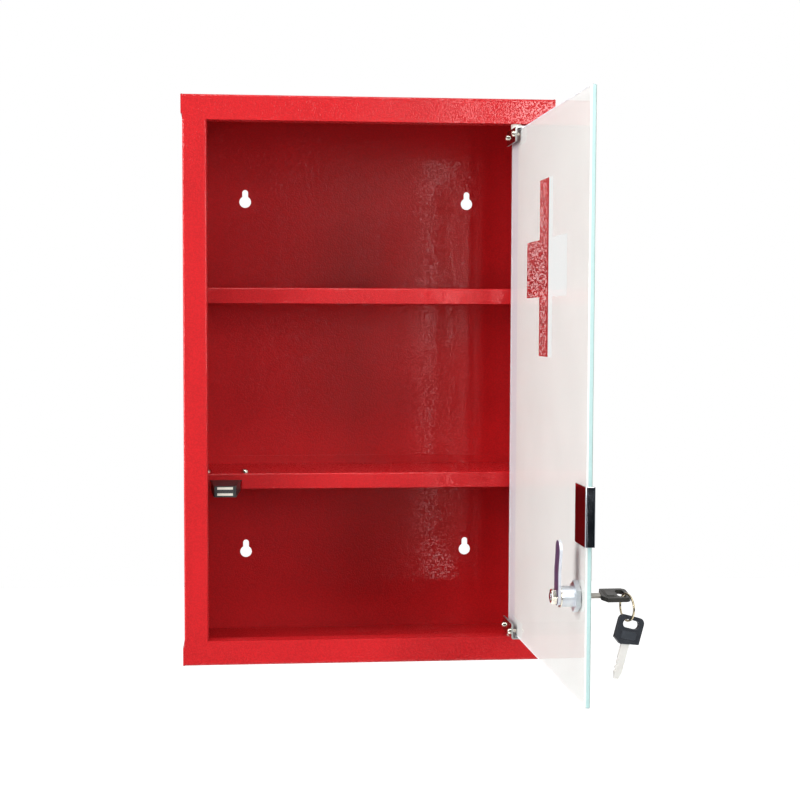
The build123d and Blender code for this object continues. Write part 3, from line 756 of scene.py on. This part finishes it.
@dataclass
class GlassDoor:
    """Glass with its white print, which leaves a clear cross."""

    door: DoorPlane
    width: float = 0.255
    height: float = 0.4092
    middle: float = -0.0011
    thickness: float = 0.004
    arris: float = 0.0007
    pale_depth: float = 0.0011
    print_margin: float = 0.0007
    print_depth: float = 0.00006
    print_gap: float = 0.00001
    cross_s: float = 0.1250
    cross_z: float = 0.0897
    cross_span: float = 0.1315
    cross_bar: float = 0.043
    lock_s: float = LOCK_FROM_HINGE
    lock_z: float = -0.134
    lock_hole: float = 0.0075
    lock_sides: int = 20
    face_tolerance: float = 1e-5
    cut_tolerance: float = 1e-7
    flat_within: float = 1.0

    def build(self, finishes: Finishes) -> None:
        """Makes the glass, and the print in the space that its outer face leaves.

        Args:
            finishes: The cabinet's finishes, of which the door uses none.
        """
        size = Vector((self.width, self.thickness, self.height))
        glass = ClearGlass().material(self.door, size, self.middle, self.arris, self.pale_depth)
        make_piece("door_pane", self.pane(), [glass], Body.DOOR, ("door_glass",))
        make_piece("door_print", self.print_sheet(), [WhitePrint().material(self.door)], Body.DOOR)

    def pane(self) -> BMesh:
        """Makes the glass with its outer face drawn in by the print's depth, so that the print fits in the CAD's form.

        Returns:
            The glass.
        """
        mesh = node_mesh("door_glass")
        outer = [vert for vert in mesh.verts if self.depth(vert.co) > self.thickness - self.face_tolerance]
        bmesh.ops.translate(mesh, vec=-self.door.outward * self.print_depth, verts=outer)
        return mesh

    def depth(self, point: Vector) -> float:
        """Returns how far a point lies outwards from the glass's inner face."""
        return (point - self.door.corner).dot(self.door.outward)

    def print_sheet(self) -> BMesh:
        """Makes the print as a thin sheet with a cross and the lock's hole cut out of it.

        Returns:
            The sheet, in its place on the glass.
        """
        mesh = rectangle(self.width - 2 * self.print_margin, self.height - 2 * self.print_margin)
        stand_up(mesh)
        bmesh.ops.translate(mesh, vec=(self.width / 2, 0.0, self.middle), verts=mesh.verts)
        half_span, half_bar = self.cross_span / 2, self.cross_bar / 2
        for offset in (-half_span, -half_bar, half_bar, half_span):
            self.cut(mesh, Vector((self.cross_s + offset, 0, 0)), Vector((1, 0, 0)))
            self.cut(mesh, Vector((0, 0, self.cross_z + offset)), UP)
        for index in range(self.lock_sides):
            angle = 2 * math.pi * index / self.lock_sides
            normal = Vector((math.cos(angle), 0, math.sin(angle)))
            self.cut(mesh, self.lock_centre() + normal * self.lock_hole, normal)
        cut_out = [face for face in mesh.faces if self.is_clear(face.calc_center_median())]
        bmesh.ops.delete(mesh, geom=cut_out, context="FACES")
        limit = math.radians(self.flat_within)
        bmesh.ops.dissolve_limit(mesh, angle_limit=limit, verts=mesh.verts, edges=mesh.edges)
        bmesh.ops.triangulate(mesh, faces=mesh.faces)
        bmesh.ops.solidify(mesh, geom=mesh.faces, thickness=self.print_depth - self.print_gap)
        furthest = max(vert.co.y for vert in mesh.verts)
        bmesh.ops.translate(mesh, vec=(0.0, self.thickness - furthest, 0.0), verts=mesh.verts)
        bmesh.ops.transform(mesh, matrix=self.door.matrix(), verts=mesh.verts)
        bmesh.ops.recalc_face_normals(mesh, faces=mesh.faces)
        return mesh

    def cut(self, mesh: BMesh, point: Vector, normal: Vector) -> None:
        """Cuts every face of the sheet along a plane."""
        bmesh.ops.bisect_plane(mesh, geom=[*mesh.verts, *mesh.edges, *mesh.faces], plane_co=point, plane_no=normal,
                               dist=self.cut_tolerance)

    def lock_centre(self) -> Vector:
        """Returns the middle of the lock's hole in the sheet."""
        return Vector((self.lock_s, 0, self.lock_z))

    def is_clear(self, point: Vector) -> bool:
        """Tells whether a point of the sheet lies in the cross or in the lock's hole.

        Args:
            point: The point, as s, 0 and z.

        Returns:
            True where the print leaves the glass clear.
        """
        across, up = abs(point.x - self.cross_s), abs(point.z - self.cross_z)
        in_cross = min(across, up) < self.cross_bar / 2 and max(across, up) < self.cross_span / 2
        return in_cross or (point - self.lock_centre()).length < self.lock_hole


@dataclass
class HingeHardware:
    """Corner clips on the glass, their screws, and the pins that the door turns on."""

    door: DoorPlane
    clip_rounding: float = 0.0002
    screw_rounding: float = 0.0001

    def build(self, finishes: Finishes) -> None:
        """Rounds the clips and screws, and dresses the pins.

        Args:
            finishes: The cabinet's finishes.
        """
        for node in ("top_hinge_clip", "bottom_hinge_clip"):
            rounded_piece(node + "_plated", node, self.clip_rounding, [finishes.bright, finishes.clip_edge], Body.DOOR,
                          sheet_normal=self.door.outward)
        rounded_piece("clip_screws_plated", "clip_screws", self.screw_rounding, [finishes.nickel], Body.DOOR)
        dress("pivot_pins", finishes.steel)


@dataclass
class Handle:
    """Chromed channel on the door's free edge."""

    rounding: float = 0.00025

    def build(self, finishes: Finishes) -> None:
        """Rounds and dresses the handle."""
        rounded_piece("handle_plated", "handle_clip", self.rounding, [finishes.chrome], Body.DOOR)


@dataclass
class CamLock:
    """Cam lock through the glass."""

    door: DoorPlane
    lock_nut_rounding: float = 0.0005
    washer_rounding: float = 0.00015
    cam_rounding: float = 0.0003
    cam_nut_rounding: float = 0.0004

    def build(self, finishes: Finishes) -> None:
        """Dresses the barrel and the plug, and rounds the pieces on the glass's inner side.

        Args:
            finishes: The cabinet's finishes.
        """
        dress("lock_body", finishes.satin)
        dress("lock_plug", finishes.chrome)
        rounded_piece("lock_nut_plated", "lock_nut", self.lock_nut_rounding, [finishes.satin], Body.DOOR)
        rounded_piece("stop_washer_plated", "stop_washer", self.washer_rounding, [finishes.nickel], Body.LOCK_CORE)
        # the cam's flat faces take the painted violet reflection, its cut edges the painted highlight
        rounded_piece("lock_cam_plated", "lock_cam", self.cam_rounding, [finishes.cam_zinc_and_reflection, finishes.cam_edge_highlight],
                      Body.LOCK_CORE, sheet_normal=self.door.outward)
        rounded_piece("cam_nut_plated", "cam_nut", self.cam_nut_rounding, [finishes.nickel], Body.LOCK_CORE)


@dataclass
class SplitRing:
    """Split ring, nearly two turns of flat wire, through both keys."""

    door: DoorPlane
    radius: float = 0.0090
    wire_height: float = 0.0014
    wire_width: float = 0.00066
    rounding: float = 0.0002
    rounding_segments: int = 3
    yaw: float = 75.0
    turns: float = 1.97
    rise_in_widths: float = 1.04
    first_end: float = 118.0
    steps: int = 144

    def build(self, finishes: Finishes) -> None:
        """Winds the ring and puts it in its node's place."""
        make_piece("split_ring", self.coil(), [finishes.brass], Body.RING, ("key_ring",))

    def coil(self) -> BMesh:
        """Winds the wire so that its turns lie side by side in the ring's plane.

        Returns:
            The wire, in its place.
        """
        mesh = rectangle(self.wire_height, self.wire_width)
        round_off(mesh, mesh.verts[:], self.rounding, self.rounding_segments, Rounded.CORNERS)
        stand_up(mesh)
        bmesh.ops.translate(mesh, vec=(self.radius, 0.0, -self.wire_width / 2), verts=mesh.verts)
        rise = (0, 0, self.wire_width / self.steps * self.rise_in_widths)
        bmesh.ops.spin(mesh, geom=[*mesh.verts, *mesh.edges, *mesh.faces], cent=(0, 0, 0), axis=UP, dvec=rise,
                       angle=2 * math.pi * self.turns, steps=self.steps, use_duplicate=False)
        bmesh.ops.recalc_face_normals(mesh, faces=mesh.faces)
        yaw = math.radians(self.yaw)
        across = self.door.outward * math.cos(yaw) + self.door.along * math.sin(yaw)
        placing = Matrix((across, UP, across.cross(UP))).transposed().to_4x4()
        placing = Matrix.Translation(node_middle("key_ring")) @ placing
        turn = Matrix.Rotation(math.radians(self.first_end), 4, "Z")
        bmesh.ops.transform(mesh, matrix=placing @ turn, verts=mesh.verts)
        return mesh


@dataclass
class Keys:
    """Key in the lock and the spare one."""

    head_rounding: float = 0.00045
    head_segments: int = 3
    blade_rounding: float = 0.00012
    blade_segments: int = 1
    panel_length: float = 0.0052
    panel_width: float = 0.0112
    panel_rise: float = 0.0003
    panel_shift: float = 0.0036
    panel_corner: float = 0.0012
    corner_segments: int = 5
    panel_rim: float = 0.00018
    rim_segments: int = 2

    def build(self, finishes: Finishes) -> None:
        """Rounds and dresses both keys, and adds the raised panels to their heads.

        Args:
            finishes: The cabinet's finishes.
        """
        for node, body, finish, raised in (
            ("key_head", Body.KEY, finishes.key_black, finishes.key_black),
            ("spare_key_head", Body.SPARE_KEY, finishes.spare_black, finishes.panel),
        ):
            rounded_piece(node + "_moulded", node, self.head_rounding, [finish], body,
                          self.head_segments)
            for name, side in (("front", 1), ("back", -1)):
                panel = self.panel(node, node.replace("head", "blade"), side)
                make_piece(f"{node}_panel_{name}", panel, [raised], body)
        for node, body, finish in (
            # the key's blade takes the painted shade
            ("key_blade", Body.KEY, finishes.shaded_key_blade),
            ("spare_key_blade", Body.SPARE_KEY, finishes.blade),
        ):
            rounded_piece(node + "_cut", node, self.blade_rounding, [finish], body, self.blade_segments)

    def panel(self, head: str, blade: str, side: int) -> BMesh:
        """Makes a raised panel on one face of a key's head, between its eye and its blade.

        Args:
            head: The head's node.
            blade: The blade's node.
            side: 1 or -1 for the two faces.

        Returns:
            The panel, with rounded corners and a softened rim.
        """
        mesh = rectangle(self.panel_length, self.panel_width)
        round_off(mesh, mesh.verts[:], self.panel_corner, self.corner_segments, Rounded.CORNERS)
        bmesh.ops.solidify(mesh, geom=mesh.faces, thickness=2 * self.panel_rise)
        height = sum(vert.co.z for vert in mesh.verts) / len(mesh.verts)
        bmesh.ops.translate(mesh, vec=(0.0, 0.0, -height), verts=mesh.verts)
        rim = [edge for edge in mesh.edges if all(vert.co.z > 0 for vert in edge.verts)]
        round_off(mesh, rim, self.panel_rim, self.rim_segments)
        bmesh.ops.transform(mesh, matrix=self.panel_place(head, blade, side), verts=mesh.verts)
        bmesh.ops.recalc_face_normals(mesh, faces=mesh.faces)
        return mesh

    def panel_place(self, head: str, blade: str, side: int) -> Matrix:
        """Finds where a panel lies: X towards the blade, Z out of the head's face.

        Args:
            head: The head's node.
            blade: The blade's node.
            side: 1 or -1 for the two faces.

        Returns:
            The matrix from the panel's own axes to the frame.
        """
        shape = node_mesh(head)
        outward = max(shape.faces, key=lambda face: face.calc_area()).normal * side
        middle = node_middle(head)
        surface = max((vert.co - middle).dot(outward) for vert in shape.verts)
        shape.free()
        down = node_middle(blade) - middle
        down = (down - outward * down.dot(outward)).normalized()
        axes = Matrix((down, outward.cross(down), outward)).transposed().to_4x4()
        return Matrix.Translation(middle + down * self.panel_shift + outward * surface) @ axes


@dataclass
class MagneticCatch:
    """Magnetic catch under the lower shelf."""

    rounding: float = 0.0005

    def build(self, finishes: Finishes) -> None:
        """Rounds the housing and dresses the magnet, the poles and the screws.

        Args:
            finishes: The cabinet's finishes.
        """
        rounded_piece("catch_moulded", "catch_housing", self.rounding, [finishes.black], Body.CASE)
        dress("catch_magnet", finishes.ferrite)
        dress("catch_poles", finishes.steel)
        dress("catch_screws", finishes.nickel)


@dataclass(frozen=True)
class Lamp:
    """A rectangular softbox."""

    name: str
    place: Place
    aim: Place
    size: Pair
    watts: float

    def build(self) -> None:
        """Hangs the lamp and aims it."""
        data = bpy.data.lights.new(self.name, "AREA")
        data.shape = "RECTANGLE"
        data.size, data.size_y = self.size
        data.energy = self.watts
        lamp = bpy.data.objects.new(self.name, data)
        bpy.context.scene.collection.objects.link(lamp)
        lamp.location = self.place
        lamp.rotation_euler = (Vector(self.aim) - Vector(self.place)).to_track_quat("-Z", "Y").to_euler()


@dataclass(frozen=True)
class Card:
    """A dark upright card that the metal and the paint reflect."""

    name: str
    size: Pair
    turned_about: str
    place: Place


@dataclass
class Studio:
    """Camera, lamps, floor, dark cards and white surroundings."""

    camera_place: Place = (-0.101131, -1.306655, 0.050528)
    camera_turn: Place = (0.057002, -0.002539, 0.088916)
    focal_pixels: float = 1444.03
    principal: Pair = (373.155, 402.824)
    picture: float = 800.0
    sensor: float = 36.0
    near_clip: float = 0.01
    ambient: float = 0.38
    floor_z: float = -1.3
    floor_side: float = 12.0
    floor_colour: Colour = (0.92, 0.92, 0.92)
    floor_glow: float = 0.75
    cloth_colour: Colour = (0.012, 0.015, 0.02)
    matt_roughness: float = 0.9
    matt_specular: float = 0.1
    cards: tuple[Card, ...] = (
        Card("camera_side_card", (7.0, 4.2), "X", (0.3, -2.7, 0.8)),
        Card("right_card", (2.6, 2.2), "Y", (2.1, -1.5, 0.3)),
    )
    lamps: tuple[Lamp, ...] = (
        Lamp("left_softbox", (-1.75, -1.05, 0.35), (0.0, -0.10, 0.0), (1.1, 1.3), watts=46.0),
        Lamp("middle_strip", (0.305, -1.66, 0.15), (0.08, 0.0, 0.15), (0.06, 1.3), watts=0.9),
        Lamp("right_softbox", (0.58, -1.66, 0.34), (0.12, -0.14, 0.0), (0.34, 0.84), watts=9.5),
        Lamp("overhead_softbox", (-0.2, -1.15, 1.70), (0.0, -0.12, 0.0), (1.4, 0.7), watts=23.0),
        Lamp("far_right_softbox", (1.6, -0.9, 0.5), (0.12, -0.25, 0.0), (0.9, 1.1), watts=5.0),
    )

    def build(self) -> None:
        """Sets up the whole studio."""
        self.camera()
        for lamp in self.lamps:
            lamp.build()
        self.surroundings()
        self.stage()
        bpy.context.scene.view_settings.view_transform = "Standard"

    def camera(self) -> None:
        """Places the camera as the photograph's."""
        turn = Euler(self.camera_turn, "XYZ").to_matrix()
        right, depth, up = turn.row[0], turn.row[1], turn.row[2]
        data = bpy.data.cameras.new("photo_camera")
        data.sensor_width = self.sensor
        data.sensor_fit = "HORIZONTAL"
        data.lens = self.focal_pixels * self.sensor / self.picture
        data.shift_x = (self.picture / 2 - self.principal[0]) / self.picture
        data.shift_y = (self.principal[1] - self.picture / 2) / self.picture
        data.clip_start = self.near_clip
        data.dof.use_dof = False
        camera = bpy.data.objects.new("photo_camera", data)
        bpy.context.scene.collection.objects.link(camera)
        axes = Matrix((right, up, -depth)).transposed().to_4x4()
        camera.matrix_world = Matrix.Translation(self.camera_place) @ axes
        bpy.context.scene.camera = camera

    def surroundings(self) -> None:
        """Makes the world white to the camera, in gloss and through glass, and softer as a light."""
        world = bpy.data.worlds.new("studio")
        world.use_nodes = True
        g = Graph(world.node_tree, "ShaderNodeOutputWorld")
        strength = g.ramp(g.background_rays(), 0.0, 1.0, self.ambient, 1.0)
        g.close(g.node("Background", Color=WHITE, Strength=strength).outputs[0])
        bpy.context.scene.world = world

    def stage(self) -> None:
        """Lays the pale floor well below the cabinet, and stands one card behind the camera and one at the right."""
        floor = rectangle(self.floor_side, self.floor_side)
        bmesh.ops.translate(floor, vec=(0.0, 0.0, self.floor_z), verts=floor.verts)
        mesh_object("floor", floor, [self.floor_paint()])
        cloth = self.cloth()
        for card in self.cards:
            mesh = rectangle(*card.size)
            stand_up(mesh, card.turned_about)
            bmesh.ops.translate(mesh, vec=card.place, verts=mesh.verts)
            mesh_object(card.name, mesh, [cloth])

    def matt(self, g: Graph, colour: Colour) -> Socket:
        """Returns a matt surface of a colour."""
        return g.surface(Base_Color=(*colour, 1.0), Roughness=self.matt_roughness,
                         Specular_IOR_Level=self.matt_specular)

    def floor_paint(self) -> Material:
        """Makes the floor's material.

        Returns:
            Matt and pale, with a glow that only the camera, gloss and glass see.
        """
        g = MaterialGraph("pale_floor")
        matt = self.matt(g, self.floor_colour)
        strength = g.math("MULTIPLY", g.background_rays(), self.floor_glow)
        glowing = g.node("Emission", Color=WHITE, Strength=strength).outputs[0]
        return g.finish(g.node("AddShader", i0=matt, i1=glowing).outputs[0])

    def cloth(self) -> Material:
        """Makes the cards' material.

        Returns:
            Dark in gloss and in soft light, white in the picture's background.
        """
        g = MaterialGraph("dark_cloth")
        dark = self.matt(g, self.cloth_colour)
        white = g.node("Emission", Color=WHITE, Strength=1.0).outputs[0]
        return g.finish(g.cover(g.node("LightPath").outputs["Is Camera Ray"], dark, white))


def main() -> None:
    """Builds the cabinet piece by piece, then its studio."""
    finishes = Finishes()
    door = DoorPlane.from_joints(LOCK_FROM_HINGE)
    assemblies: list[tuple[str, Callable[[Finishes], None]]] = [
        ("case", Case().build),
        ("glass door", GlassDoor(door).build),
        ("hinge hardware", HingeHardware(door).build),
        ("handle", Handle().build),
        ("cam lock", CamLock(door).build),
        ("split ring", SplitRing(door).build),
        ("keys", Keys().build),
        ("magnetic catch", MagneticCatch().build),
    ]
    for name, build in assemblies:
        log.info("building the %s", name)
        build(finishes)
    Studio().build()


if __name__ == "__main__":
    main()
